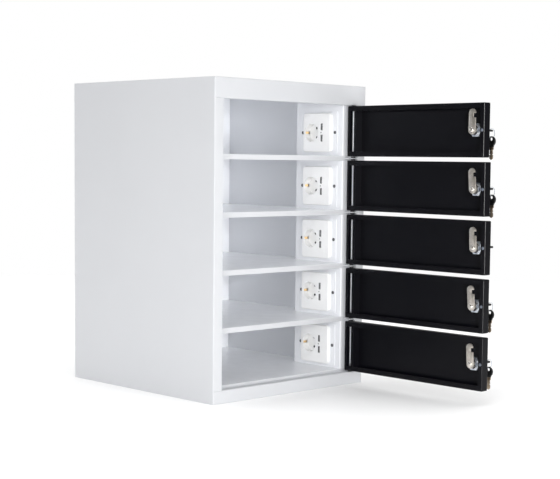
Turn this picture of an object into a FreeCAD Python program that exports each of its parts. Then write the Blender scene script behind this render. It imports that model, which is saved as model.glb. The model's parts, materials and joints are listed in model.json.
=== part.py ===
import FreeCAD, Part
import math
import os

# A phone charging kiosk: a powder-coated sheet steel cabinet with five lockers, one above the other.
# Each locker has a shelf, a mains outlet with two USB ports on a channel at its right, and a black
# door with a cam lock.  The doors turn on one long rod inside the right-hand stile.
# Millimetres.  Origin: centre of the cabinet's base.  +X right, +Y towards the back, +Z up.

Vector = FreeCAD.Vector

# Cabinet
WIDTH = 400.0
DEPTH = 435.0
HEIGHT = 600.0
SHEET = 1.2
BEND = 2.0
STILE = 22.0
TOP_RAIL = 38.5
BOTTOM_RAIL = 25.0
RETURN = 20.0
STOP_FLANGE = 12.0
REAR_FLANGE = 18.0
WIRING_GAP = 25.0
SEAM = 0.05

# Lockers
LOCKERS = 5
PITCH = 108.0
LIP = 10.0
LIP_FACE = 6.0
LIP_STEP = 0.8
SHELF_FLANGE = 8.0

# Doors
DOOR_WIDTH = 350.0
DOOR_HEIGHT = 100.0
DOOR_DEPTH = 17.5
DOOR_SHEET = 1.0
DOOR_BEND = 1.8
DOOR_TOP = 560.0
DOOR_RETURN = 10.0
SLOT_START = 7.0
SLOT_END = 19.0
STIFFENER = 24.5
REST_ANGLES = (88.7, 89.6, 90.4, 90.2, 90.3)

# Hinge
HINGE_INSET = 5.0
ROD_RADIUS = 2.5
ROD_HOLE = 2.57
LUG_LENGTH = 15.0
LUG_THICKNESS = 2.0
BUSH_RADIUS = 4.5
BUSH_CLEARANCE = 0.3

# Cam lock
LOCK_FROM_HINGE = 328.0
ROSETTE_RADIUS = 12.3
ROSETTE_HEIGHT = 4.5
BARREL_RADIUS = 9.5
BARREL_LENGTH = 21.5
BARREL_FLAT = 8.2
FLATS_START = 10.0
PLUG_RADIUS = 6.5
PLUG_CLEARANCE = 0.06
NUT_FLATS = 24.0
NUT_START = 8.4
NUT_HEIGHT = 7.4
SLEEVE_RADIUS = 11.6
CAM_FACE = 24.0
CAM_THICKNESS = 2.0
CAM_WIDTH = 16.0
CAM_REACH = 38.7
CAM_SQUARE = 8.0
NOTCH_LOW = 23.0
NOTCH_HIGH = 30.4
NOTCH_DEPTH = 5.5
CAM_TILTS = (-1.5, 4.0, 2.0, 4.0, 3.0)
KEYWAY_WIDTH = 2.8
KEYWAY_HEIGHT = 8.8
KEYWAY_LENGTH = 20.5

# Keys
BLADE_WIDTH = 2.0
BLADE_HEIGHT = 7.6
BLADE_LENGTH = 18.0
SHANK_OUT = 5.5
BOW_LENGTH = 20.0
BOW_WIDTH = 19.0
BOW_THICKNESS = 3.8
BOW_HOLE = 3.4
BOW_HOLE_INSET = 5.2
BLADE_IN_BOW = 6.0
RING_RADIUS = 8.6
RING_WIRE = 0.8
RING_OUT = 7.2
RING_DOWN = 4.7
RING_CLEARANCE = 0.6
NO_SPARE_KEY = 3

# Outlets on the socket channel
CHANNEL_FACE = 156.3
CHANNEL_DEPTH = 133.5
OUTLET_Y = -130.9
OUTLET_DROP = 2.2
PLATE_LENGTH = 104.0
PLATE_HEIGHT = 84.0
PLATE_THICKNESS = 1.5
PLATE_GROOVE = 3.0
COVER_SIZE = 78.5
COVER_HEIGHT = 6.8
COVER_CORNER = 7.0
WALL_HOLE = 35.0
CUP_OFFSET = 14.2
CUP_RADIUS = 18.8
CUP_WALL = 1.0
CUP_DEPTH = 15.0
CUP_BODY = 12.0
CLIP_WINDOW = 5.0
PIN_SPACING = 19.0
PIN_HOLE = 2.5
RIB_WIDTH = 4.5
RIB_HEIGHT = 2.0
USB_OFFSET = -14.4
USB_SPACING = 22.8
USB_LENGTH = 13.5
USB_WIDTH = 5.4
USB_WALL = 0.5
USB_DEPTH = 14.0
USB_TONGUE = 1.8
LED_RADIUS = 1.3
SCREW_SPACING = 91.5
SCREW_HEAD = 3.2
SCREW_SHANK = 1.7

# Wall fixings, mains inlet and wiring
FIXING_X = 300.0
FIXING_Z = 420.0
FIXING_RADIUS = 4.25
INLET_X = 150.0
INLET_Z = 15.0
INLET_FLANGE_WIDTH = 31.0
INLET_FLANGE_HEIGHT = 23.0
INLET_BODY_WIDTH = 27.0
INLET_BODY_HEIGHT = 19.5
INLET_RECESS_WIDTH = 24.4
INLET_RECESS_HEIGHT = 16.6
INLET_BODY_DEPTH = 21.0
INLET_RECESS_DEPTH = 16.0
CABLE_RADIUS = 3.5
BRANCH_RADIUS = 2.5
TERMINAL_Y = -60.0

FRONT = -DEPTH / 2
BACK = DEPTH / 2
LEFT = -WIDTH / 2
RIGHT = WIDTH / 2
LIP_PLANE = FRONT + RETURN
INNER_BACK = BACK - WIRING_GAP
HINGE_X = RIGHT - STILE - 2.0 - HINGE_INSET
HINGE_Y = FRONT + HINGE_INSET
DOOR_HINGE_EDGE = HINGE_X + HINGE_INSET
LOCK_X = DOOR_HINGE_EDGE - LOCK_FROM_HINGE
PLATE_FACE = CHANNEL_FACE - PLATE_THICKNESS
COVER_FACE = PLATE_FACE - COVER_HEIGHT
CHANNEL_BACK = LIP_PLANE + CHANNEL_DEPTH
SHELF_TOPS = [DOOR_TOP - DOOR_HEIGHT + 1.0 - PITCH * n for n in range(LOCKERS - 1)]
FLOOR_TOP = 30.0
DOOR_BOTTOMS = [DOOR_TOP - DOOR_HEIGHT - PITCH * n for n in range(LOCKERS)]
DOOR_CENTRES = [bottom + DOOR_HEIGHT / 2 for bottom in DOOR_BOTTOMS]
OUTLET_CENTRES = [centre - OUTLET_DROP for centre in DOOR_CENTRES]
KEY_OUT = ROSETTE_HEIGHT + SHANK_OUT + BOW_LENGTH
RING_FROM_FACE = KEY_OUT - BOW_HOLE_INSET + RING_OUT


# ---------------------------------------------------------------- helpers

def box(x0, x1, y0, y1, z0, z1):
    """A block between two corners."""
    return Part.makeBox(x1 - x0, y1 - y0, z1 - z0, Vector(x0, y0, z0))


def rod(radius, start, axis, length):
    """A cylinder from a start point along an axis."""
    return Part.makeCylinder(radius, length, Vector(*start), Vector(*axis))


def rounded_box(corners, radius, axis=None):
    """A block with rounded edges: all of them, or only those along one axis."""
    solid = box(*corners)
    edges = solid.Edges
    if axis is not None:
        direction = Vector(*axis)
        edges = [e for e in edges if abs(e.tangentAt(e.FirstParameter).dot(direction)) > 0.99]
    return solid.makeFillet(radius, edges)


def side_of_path(path, offset, bend):
    """Edges of one face of a folded sheet, offset to the left of its centreline path."""
    edges = []
    start = None
    for index, point in enumerate(path):
        before = path[index] - path[index - 1] if index else None
        after = path[index + 1] - point if index + 1 < len(path) else None
        if before is None or after is None:
            run = (after or before).normalize()
            normal = Vector(-run.y, run.x, 0)
            corner = [point + normal * offset]
        else:
            before = Vector(before).normalize()
            after = Vector(after).normalize()
            turn = math.copysign(1.0, before.cross(after).z)
            setback = bend * math.tan(before.getAngle(after) / 2)
            centre = point - before * setback + Vector(-before.y, before.x, 0) * bend * turn
            radius = bend - turn * offset
            middle = (point - centre).normalize()
            corner = [
                centre - Vector(-before.y, before.x, 0) * radius * turn,
                centre + middle * radius,
                centre - Vector(-after.y, after.x, 0) * radius * turn,
            ]
        if start is not None:
            edges.append(Part.makeLine(start, corner[0]))
        if len(corner) == 3:
            edges.append(Part.Arc(*corner).toShape())
        start = corner[-1]
    return edges


def end_of_path(edge, end):
    """The first or the last point of an edge."""
    return edge.valueAt((edge.FirstParameter, edge.LastParameter)[end])


def folded_sheet(points, low, high, along="Z", thickness=SHEET):
    """A sheet folded along a centreline, drawn in XY (or YZ) and pulled along Z (or X)."""
    bend = BEND - thickness / 2
    path = [Vector(a, b, 0) for a, b in points]
    first = side_of_path(path, thickness / 2, bend)
    second = side_of_path(path, -thickness / 2, bend)
    caps = [
        Part.makeLine(end_of_path(first[0], 0), end_of_path(second[0], 0)),
        Part.makeLine(end_of_path(first[-1], 1), end_of_path(second[-1], 1)),
    ]
    outline = Part.Wire(Part.__sortEdges__(first + second + caps))
    solid = Part.Face(outline).extrude(Vector(0, 0, high - low))
    if along == "X":
        solid = solid.rotated(Vector(0, 0, 0), Vector(1, 1, 1), 120)
        solid.translate(Vector(low, 0, 0))
    else:
        solid.translate(Vector(0, 0, low))
    return solid


def mirrored(solid):
    """The same piece on the other side of the cabinet."""
    return solid.mirror(Vector(0, 0, 0), Vector(1, 0, 0))


def cable(points, radius, bend):
    """A round cable of straight runs joined by tangent arcs."""
    corners = [Vector(*point) for point in points]
    edges = []
    start = corners[0]
    for before, corner, after in zip(corners, corners[1:], corners[2:]):
        incoming = (corner - before).normalize()
        outgoing = (after - corner).normalize()
        setback = bend * math.tan(incoming.getAngle(outgoing) / 2)
        entry = corner - incoming * setback
        leave = corner + outgoing * setback
        centre_line = (outgoing - incoming).normalize()
        reach = bend / math.cos(incoming.getAngle(outgoing) / 2) - bend
        edges.append(Part.makeLine(start, entry))
        edges.append(Part.Arc(entry, corner + centre_line * reach, leave).toShape())
        start = leave
    edges.append(Part.makeLine(start, corners[-1]))
    route = Part.Wire(edges)
    section = Part.Wire(Part.makeCircle(radius, corners[0], corners[1] - corners[0]))
    return route.makePipeShell([section], True, False)


def at_each_outlet(make):
    """One copy of a piece for every outlet, as separate solids of one node."""
    return Part.makeCompound([make(centre) for centre in OUTLET_CENTRES])


# ---------------------------------------------------------------- cabinet

def side_panel():
    """Left side: rear flange, side, front stile, its return and the flange that the cams lock behind."""
    half = SHEET / 2
    stile_edge = LEFT + STILE - half
    panel = folded_sheet([
        (LEFT + REAR_FLANGE, BACK - half),
        (LEFT + half, BACK - half),
        (LEFT + half, FRONT + half),
        (stile_edge, FRONT + half),
        (stile_edge, LIP_PLANE + half),
        (LEFT + STILE + STOP_FLANGE, LIP_PLANE + half),
    ], 0, HEIGHT)
    return trim_stile(panel)


def hinge_side_panel():
    """Right side: as the left one, but its return ends at the socket channel."""
    half = SHEET / 2
    stile_edge = LEFT + STILE - half
    panel = folded_sheet([
        (LEFT + REAR_FLANGE, BACK - half),
        (LEFT + half, BACK - half),
        (LEFT + half, FRONT + half),
        (stile_edge, FRONT + half),
        (stile_edge, LIP_PLANE),
    ], 0, HEIGHT)
    return mirrored(trim_stile(panel))


def trim_stile(panel):
    """Keep only the corner bend where the top and bottom rails take the stile's place."""
    reach = LEFT + STILE + STOP_FLANGE + 1
    low = box(LEFT + BEND, reach, FRONT - 1, LIP_PLANE + 3, -1, BOTTOM_RAIL + SEAM)
    high = box(LEFT + BEND, reach, FRONT - 1, LIP_PLANE + 3, HEIGHT - TOP_RAIL - SEAM, HEIGHT + 1)
    return panel.cut(low).cut(high)


def trim_rail(panel):
    """Notch a rail panel at its four corners for the side panels' bends and rear flanges."""
    for side in (-1, 1):
        outer = side * (RIGHT + 1)
        front = side * (RIGHT - BEND)
        rear = side * (RIGHT - REAR_FLANGE)
        at_front = box(min(outer, front), max(outer, front), FRONT - 1, FRONT + BEND, -1, HEIGHT + 1)
        at_rear = box(min(outer, rear), max(outer, rear), BACK - BEND, BACK + 1, -1, HEIGHT + 1)
        panel = panel.cut(at_front).cut(at_rear)
    return panel


def rail_panel(outer_z, rail_z, inward):
    """Roof or base: rear flange, sheet, front rail, its ledge and a stiffening fold."""
    half = SHEET / 2
    sheet_z = outer_z - inward * half
    ledge_z = rail_z - inward * half
    panel = folded_sheet([
        (BACK - half, outer_z - inward * REAR_FLANGE),
        (BACK - half, sheet_z),
        (FRONT + half, sheet_z),
        (FRONT + half, ledge_z + inward * SHEET),
        (LIP_PLANE - half, ledge_z + inward * SHEET),
        (LIP_PLANE - half, ledge_z + inward * (SHEET + 6.0)),
    ], LEFT + SHEET, RIGHT - SHEET, along="X")
    hinge_hole = rod(ROD_RADIUS, (HINGE_X, HINGE_Y, rail_z - 5), (0, 0, 1), 10)
    inlet_notch = inlet_block(INLET_FLANGE_WIDTH + 1, INLET_FLANGE_HEIGHT + 1, BACK - 2 * SHEET, BACK + 1)
    return trim_rail(panel).cut(hinge_hole).cut(inlet_notch)


def fixing_holes(y):
    """Four holes for wall screws, through a panel that lies at this depth."""
    holes = []
    for x in (-FIXING_X / 2, FIXING_X / 2):
        for z in (HEIGHT / 2 - FIXING_Z / 2, HEIGHT / 2 + FIXING_Z / 2):
            holes.append(rod(FIXING_RADIUS, (x, y - 5, z), (0, 1, 0), 10))
    return Part.makeCompound(holes)


def back_panel():
    """Outer back, held against the rear flanges, with wall fixings and the mains inlet's cut-out."""
    sheet = box(LEFT + BEND, RIGHT - BEND, BACK - 2 * SHEET, BACK - SHEET, BEND, HEIGHT - BEND)
    inlet = inlet_block(INLET_BODY_WIDTH, INLET_BODY_HEIGHT, BACK - 10, BACK + 1)
    return sheet.cut(fixing_holes(BACK - SHEET)).cut(inlet)


def inner_back_panel():
    """Back wall of the lockers, in front of the wiring space."""
    sheet = box(LEFT + SHEET, RIGHT - SHEET, INNER_BACK, INNER_BACK + SHEET, SHEET, HEIGHT - SHEET)
    feed = rod(CABLE_RADIUS + 1.5, (INLET_X, INNER_BACK - 5, INLET_Z), (0, 1, 0), 10)
    return sheet.cut(fixing_holes(INNER_BACK)).cut(feed)


def shelf(top):
    """A shelf with a stepped front lip and side flanges, cut away round the socket channel."""
    half = SHEET / 2
    lip_left = LEFT + STILE + STOP_FLANGE
    lip_right = RIGHT - STILE
    inner_left = LEFT + SHEET
    inner_right = RIGHT - SHEET
    plate = folded_sheet([
        (INNER_BACK, top - half),
        (LIP_PLANE + half, top - half),
        (LIP_PLANE + half, top - LIP_FACE),
    ], lip_left, lip_right, along="X")
    hem_face = LIP_PLANE + LIP_STEP
    hem = box(lip_left, lip_right, hem_face, hem_face + SHEET, top - LIP, top - 2.0)
    left = box(inner_left, lip_left, LIP_PLANE + SHEET, INNER_BACK, top - SHEET, top)
    right = box(lip_right, inner_right, CHANNEL_BACK, INNER_BACK, top - SHEET, top)
    flange_low = top - SHELF_FLANGE
    left_flange = box(inner_left, inner_left + SHEET, LIP_PLANE + SHEET, INNER_BACK, flange_low, top)
    right_flange = box(inner_right - SHEET, inner_right, CHANNEL_BACK, INNER_BACK, flange_low, top)
    channel = box(CHANNEL_FACE, inner_right, LIP_PLANE + SHEET, CHANNEL_BACK, top - 20, top + 5)
    solid = plate.fuse([hem, left, right, left_flange, right_flange]).cut(channel)
    return solid.removeSplitter()


def socket_channel():
    """Upright box behind the hinge stile that carries the outlets and hides their wiring."""
    half = SHEET / 2
    channel = folded_sheet([
        (RIGHT - STILE + SHEET, LIP_PLANE + half),
        (CHANNEL_FACE + half, LIP_PLANE + half),
        (CHANNEL_FACE + half, CHANNEL_BACK - half),
        (RIGHT - SHEET, CHANNEL_BACK - half),
    ], FLOOR_TOP, HEIGHT - SHEET)
    for top in SHELF_TOPS:
        channel = channel.cut(box(CHANNEL_FACE - 1, RIGHT, LIP_PLANE - 1, LIP_PLANE + 2 * SHEET + SEAM,
                                  top - LIP, top))
    for centre in OUTLET_CENTRES:
        channel = channel.cut(rod(WALL_HOLE, (CHANNEL_FACE - 5, OUTLET_Y, centre), (1, 0, 0), 10))
        for side in (-1, 1):
            place = (CHANNEL_FACE - 5, OUTLET_Y + side * SCREW_SPACING / 2, centre)
            channel = channel.cut(rod(SCREW_SHANK, place, (1, 0, 0), 10))
    return channel


# ---------------------------------------------------------------- outlets

def socket_plate(centre):
    """Steel plate under an outlet, with a fine groove just inside its edge."""
    half_y = PLATE_LENGTH / 2
    half_z = PLATE_HEIGHT / 2
    plate = rounded_box((PLATE_FACE, CHANNEL_FACE, OUTLET_Y - half_y, OUTLET_Y + half_y,
                         centre - half_z, centre + half_z), 2.0, axis=(1, 0, 0))
    inner_y = half_y - PLATE_GROOVE
    inner_z = half_z - PLATE_GROOVE
    groove = box(PLATE_FACE - 1, PLATE_FACE + 0.5, OUTLET_Y - inner_y, OUTLET_Y + inner_y,
                 centre - inner_z, centre + inner_z)
    island = box(PLATE_FACE - 1, PLATE_FACE + 0.5, OUTLET_Y - inner_y + 1, OUTLET_Y + inner_y - 1,
                 centre - inner_z + 1, centre + inner_z - 1)
    plate = plate.cut(groove.cut(island))
    plate = plate.cut(rod(WALL_HOLE, (PLATE_FACE - 5, OUTLET_Y, centre), (1, 0, 0), 10))
    for side in (-1, 1):
        place = (PLATE_FACE - 5, OUTLET_Y + side * SCREW_SPACING / 2, centre)
        plate = plate.cut(rod(SCREW_SHANK, place, (1, 0, 0), 10))
    return plate


def usb_places(centre):
    """Heights of the two USB ports of an outlet."""
    return (centre - USB_SPACING / 2, centre + USB_SPACING / 2)


def outlet_cover(centre):
    """Moulded square cover with softly rounded edges, open for the cup, the ports and the lamp."""
    half = COVER_SIZE / 2
    block = rounded_box((COVER_FACE, PLATE_FACE, OUTLET_Y - half, OUTLET_Y + half,
                         centre - half, centre + half), COVER_CORNER, axis=(1, 0, 0))
    front_edges = [e for e in block.Edges if all(abs(v.X - COVER_FACE) < 0.01 for v in e.Vertexes)]
    block = block.makeFillet(2.4, front_edges)
    cup = rod(CUP_RADIUS + CUP_WALL, (COVER_FACE - 1, OUTLET_Y + CUP_OFFSET, centre), (1, 0, 0), 20)
    lamp = rod(LED_RADIUS, (COVER_FACE - 1, OUTLET_Y + USB_OFFSET + 2.0, centre), (1, 0, 0), 20)
    block = block.cut(cup).cut(lamp)
    for z in usb_places(centre):
        block = block.cut(usb_block(z, COVER_FACE - 1, PLATE_FACE + 1))
    return block


def usb_block(z, x0, x1, wall=0.0):
    """The space that a USB port fills between two depths, less a wall all round."""
    y = OUTLET_Y + USB_OFFSET
    return box(x0, x1, y - USB_WIDTH / 2 + wall, y + USB_WIDTH / 2 - wall,
               z - USB_LENGTH / 2 + wall, z + USB_LENGTH / 2 - wall)


def usb_port(z):
    """A USB-A receptacle: shell, closed back and tongue."""
    front = COVER_FACE + 0.3
    shell = usb_block(z, front, front + USB_DEPTH)
    shell = shell.cut(usb_block(z, front - 1, front + USB_DEPTH - 2, wall=USB_WALL))
    y = OUTLET_Y + USB_OFFSET + USB_WIDTH / 2 - USB_WALL - 0.6 - USB_TONGUE
    tongue = box(front + 0.8, front + USB_DEPTH - 1, y, y + USB_TONGUE, z - 5.4, z + 5.4)
    return shell.fuse(tongue)


def usb_modules():
    """Both ports of every outlet."""
    ports = []
    for centre in OUTLET_CENTRES:
        ports.extend(usb_port(z) for z in usb_places(centre))
    return Part.makeCompound(ports)


def outlet_insert(centre):
    """Round earthed socket cup with guide ribs, clip windows and pin holes, and its body."""
    y = OUTLET_Y + CUP_OFFSET
    floor = COVER_FACE + CUP_DEPTH
    axis = (1, 0, 0)
    cup = rod(CUP_RADIUS + CUP_WALL, (COVER_FACE, y, centre), axis, CUP_DEPTH)
    cup = cup.cut(rod(CUP_RADIUS, (COVER_FACE - 1, y, centre), axis, CUP_DEPTH + 1))
    body = rod(CUP_RADIUS + CUP_WALL, (floor, y, centre), axis, CUP_BODY)
    for side in (-1, 1):
        pin_z = centre + side * PIN_SPACING / 2
        body = body.cut(rod(PIN_HOLE, (floor - 1, y, pin_z), axis, CUP_BODY - 2))
        low = centre + side * (CUP_RADIUS - RIB_HEIGHT)
        high = centre + side * (CUP_RADIUS + CUP_WALL / 2)
        rib = box(COVER_FACE + 1.5, floor + 0.5, y - RIB_WIDTH / 2, y + RIB_WIDTH / 2,
                  min(low, high), max(low, high))
        cup = cup.fuse(rib)
        near = y + side * (CUP_RADIUS - 1)
        far = y + side * (CUP_RADIUS + CUP_WALL + 1)
        window = box(floor - CLIP_WINDOW, floor - 0.3, min(near, far), max(near, far),
                     centre - 3, centre + 3)
        cup = cup.cut(window)
    return cup.fuse(body)


def earth_clips():
    """Sprung earth contacts at the front and back of every cup."""
    clips = []
    floor = COVER_FACE + CUP_DEPTH
    for centre in OUTLET_CENTRES:
        for side in (-1, 1):
            wall = OUTLET_Y + CUP_OFFSET + side * CUP_RADIUS
            outline = [
                (COVER_FACE + 1.5, wall - side * 0.4),
                (COVER_FACE + 6.0, wall - side * 3.4),
                (floor - CLIP_WINDOW, wall - side * 1.7),
                (floor - CLIP_WINDOW, wall - side * 0.4),
            ]
            points = [Vector(x, y, centre - 2.2) for x, y in outline]
            face = Part.Face(Part.makePolygon(points + points[:1]))
            clips.append(face.extrude(Vector(0, 0, 4.4)))
    return Part.makeCompound(clips)


def plate_screws():
    """Two domed screws through every socket plate."""
    screws = []
    for centre in OUTLET_CENTRES:
        for side in (-1, 1):
            y = OUTLET_Y + side * SCREW_SPACING / 2
            head = Part.makeSphere(SCREW_HEAD * 1.3, Vector(PLATE_FACE + SCREW_HEAD * 0.6, y, centre))
            head = head.common(rod(SCREW_HEAD, (PLATE_FACE - 4, y, centre), (1, 0, 0), 4))
            slot = box(PLATE_FACE - 4, PLATE_FACE - 1.2, y - 0.5, y + 0.5, centre - 2, centre + 2)
            shank = rod(SCREW_SHANK, (PLATE_FACE, y, centre), (1, 0, 0), 10)
            screws.append(head.cut(slot).fuse(shank))
    return Part.makeCompound(screws)


# ---------------------------------------------------------------- hinge

def gap_centres():
    """Heights of the middles of the gaps between the doors."""
    gap = PITCH - DOOR_HEIGHT
    return [bottom - gap / 2 for bottom in DOOR_BOTTOMS[:-1]]


def hinge_rod():
    """One rod through every door and lug, from the bottom rail to the top rail."""
    low = BOTTOM_RAIL - 5
    high = HEIGHT - TOP_RAIL + 5
    solid = rod(ROD_RADIUS, (HINGE_X, HINGE_Y, low), (0, 0, 1), high - low)
    return solid.makeChamfer(0.5, [e for e in solid.Edges if len(e.Vertexes) == 1])


def hinge_lugs():
    """A tab in every gap between the doors, from the hinge stile round the rod."""
    lugs = []
    stile_face = RIGHT - STILE
    for z in gap_centres():
        corners = (stile_face - LUG_LENGTH, stile_face, FRONT + 0.8, LIP_PLANE,
                   z - LUG_THICKNESS / 2, z + LUG_THICKNESS / 2)
        tab = rounded_box(corners, 2.0, axis=(0, 0, 1))
        square = box(stile_face - 3, stile_face, FRONT + 0.8, LIP_PLANE, corners[4], corners[5])
        hole = rod(ROD_RADIUS, (HINGE_X, HINGE_Y, z - 5), (0, 0, 1), 10)
        lugs.append(tab.fuse(square).removeSplitter().cut(hole))
    return Part.makeCompound(lugs)


def bush(low, high):
    """A spacer ring on the hinge rod between two heights."""
    ring = rod(BUSH_RADIUS, (HINGE_X, HINGE_Y, low), (0, 0, 1), high - low)
    return ring.cut(rod(ROD_RADIUS, (HINGE_X, HINGE_Y, low - 1), (0, 0, 1), high - low + 2))


def hinge_bushes():
    """Spacer rings above and below every door."""
    rings = [bush(DOOR_TOP + BUSH_CLEARANCE, HEIGHT - TOP_RAIL)]
    for index, z in enumerate(gap_centres()):
        rings.append(bush(z + LUG_THICKNESS / 2, DOOR_BOTTOMS[index] - BUSH_CLEARANCE))
        rings.append(bush(DOOR_BOTTOMS[index + 1] + DOOR_HEIGHT + BUSH_CLEARANCE, z - LUG_THICKNESS / 2))
    rings.append(bush(BOTTOM_RAIL, DOOR_BOTTOMS[-1] - BUSH_CLEARANCE))
    return Part.makeCompound(rings)


# ---------------------------------------------------------------- door and lock, door closed

def door(bottom):
    """Folded steel pan with return flanges, a slot beside the hinge rod and an upright stiffener."""
    top = bottom + DOOR_HEIGHT
    free_edge = DOOR_HINGE_EDGE - DOOR_WIDTH
    inside = FRONT + DOOR_DEPTH
    wall = DOOR_SHEET
    pan = rounded_box((free_edge, DOOR_HINGE_EDGE, FRONT, inside, bottom, top), DOOR_BEND)
    cavity = rounded_box((free_edge + wall, DOOR_HINGE_EDGE - wall, FRONT + wall, inside - wall,
                          bottom + wall, top - wall), DOOR_BEND - wall)
    low = bottom + DOOR_RETURN
    high = top - DOOR_RETURN
    mid = inside - wall - 1
    slot = box(DOOR_HINGE_EDGE - SLOT_END, DOOR_HINGE_EDGE - SLOT_START, mid, inside + 1, low, high)
    recess = rounded_box((free_edge + DOOR_RETURN, DOOR_HINGE_EDGE - STIFFENER, mid, inside + 1,
                          low, high), 1.5, axis=(0, 1, 0))
    stiffener = box(DOOR_HINGE_EDGE - STIFFENER, DOOR_HINGE_EDGE - STIFFENER + wall,
                    FRONT + wall / 2, inside - wall / 2, bottom + wall / 2, top - wall / 2)
    rod_hole = rod(ROD_HOLE, (HINGE_X, HINGE_Y, bottom - 1), (0, 0, 1), DOOR_HEIGHT + 2)
    lock_hole = rod(BARREL_RADIUS, (LOCK_X, FRONT - 1, bottom + DOOR_HEIGHT / 2), (0, 1, 0), 3)
    return pan.cut(cavity).cut(slot).cut(recess).fuse(stiffener).cut(rod_hole).cut(lock_hole)


def lock_body(centre):
    """Rosette on the outside and a threaded barrel with two flats through the door."""
    axis = (0, 1, 0)
    rosette = rod(ROSETTE_RADIUS, (LOCK_X, FRONT - ROSETTE_HEIGHT, centre), axis, ROSETTE_HEIGHT)
    rosette = rosette.makeFillet(1.0, [e for e in rosette.Edges
                                       if len(e.Vertexes) == 1 and abs(e.CenterOfMass.y - FRONT) > 1])
    barrel = rod(BARREL_RADIUS, (LOCK_X, FRONT, centre), axis, BARREL_LENGTH)
    for side in (-1, 1):
        low = LOCK_X + side * BARREL_FLAT
        high = LOCK_X + side * (BARREL_RADIUS + 1)
        barrel = barrel.cut(box(min(low, high), max(low, high), FRONT + FLATS_START, FRONT + 30,
                                centre - 12, centre + 12))
    bore = rod(PLUG_RADIUS + PLUG_CLEARANCE, (LOCK_X, FRONT - 5, centre), axis, 40)
    return rosette.fuse(barrel).removeSplitter().cut(bore)


def lock_nut(centre):
    """Hexagonal nut on the barrel, with the spacer sleeve under it that reaches the door's skin."""
    corner = NUT_FLATS / 2 / math.cos(math.pi / 6)
    angles = [math.radians(60 * n) for n in range(7)]
    start = FRONT + NUT_START
    points = [Vector(LOCK_X + corner * math.cos(a), start, centre + corner * math.sin(a)) for a in angles]
    hexagon = Part.Face(Part.makePolygon(points)).extrude(Vector(0, NUT_HEIGHT, 0))
    cone = Part.makeCone(corner - 0.2 + NUT_HEIGHT, corner - 0.9, NUT_HEIGHT,
                         Vector(LOCK_X, start, centre), Vector(0, 1, 0))
    skin = FRONT + DOOR_SHEET
    sleeve = rod(SLEEVE_RADIUS, (LOCK_X, skin, centre), (0, 1, 0), start - skin + 1)
    bore = rod(BARREL_RADIUS, (LOCK_X, skin - 1, centre), (0, 1, 0), NUT_START + NUT_HEIGHT + 2)
    return hexagon.common(cone).fuse(sleeve).cut(bore)


def lock_cam(centre):
    """Plug with its keyway, the hooked cam on its square end, and the cam's screw."""
    axis = (0, 1, 0)
    cam_face = FRONT + CAM_FACE
    front = FRONT - ROSETTE_HEIGHT + 0.3
    square = CAM_SQUARE / 2
    half = CAM_WIDTH / 2
    plug = rod(PLUG_RADIUS, (LOCK_X, front, centre), axis, cam_face - front)
    tail = box(LOCK_X - square, LOCK_X + square, cam_face, cam_face + CAM_THICKNESS,
               centre - square, centre + square)
    keyway = box(LOCK_X - KEYWAY_HEIGHT / 2, LOCK_X + KEYWAY_HEIGHT / 2, front - 1, front + KEYWAY_LENGTH,
                 centre - KEYWAY_WIDTH / 2, centre + KEYWAY_WIDTH / 2)
    thread = rod(2.0, (LOCK_X, cam_face - 1.5, centre), axis, 10)
    plug = plug.fuse(tail).cut(keyway).cut(thread)

    strap = box(LOCK_X - half, LOCK_X + half, cam_face, cam_face + CAM_THICKNESS,
                centre, centre + CAM_REACH - half)
    foot = rod(half, (LOCK_X, cam_face, centre), axis, CAM_THICKNESS)
    head = rod(half, (LOCK_X, cam_face, centre + CAM_REACH - half), axis, CAM_THICKNESS)
    notch = box(LOCK_X - half - 1, LOCK_X - half + NOTCH_DEPTH, cam_face - 1, cam_face + 3,
                centre + NOTCH_LOW, centre + NOTCH_HIGH)
    cam = strap.fuse([foot, head]).removeSplitter().cut(notch).cut(tail)

    head_start = cam_face + CAM_THICKNESS
    screw_head = rod(4.6, (LOCK_X, head_start, centre), axis, 2.8)
    rim = [e for e in screw_head.Edges if len(e.Vertexes) == 1 and e.CenterOfMass.y > head_start + 2]
    screw_head = screw_head.makeFillet(0.8, rim)
    for size_x, size_z in ((1.0, 5.0), (5.0, 1.0)):
        recess = box(LOCK_X - size_x / 2, LOCK_X + size_x / 2, head_start + 1.6, head_start + 4,
                     centre - size_z / 2, centre + size_z / 2)
        screw_head = screw_head.cut(recess)
    screw = screw_head.fuse(rod(2.0, (LOCK_X, cam_face - 1.5, centre), axis, CAM_THICKNESS + 1.5))
    return Part.makeCompound([plug, cam, screw])


def wedge(corners):
    """A three-cornered block across a key's blade, from its corners in YZ."""
    points = [Vector(-2, y, z) for y, z in corners]
    return Part.Face(Part.makePolygon(points + points[:1])).extrude(Vector(4, 0, 0))


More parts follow.
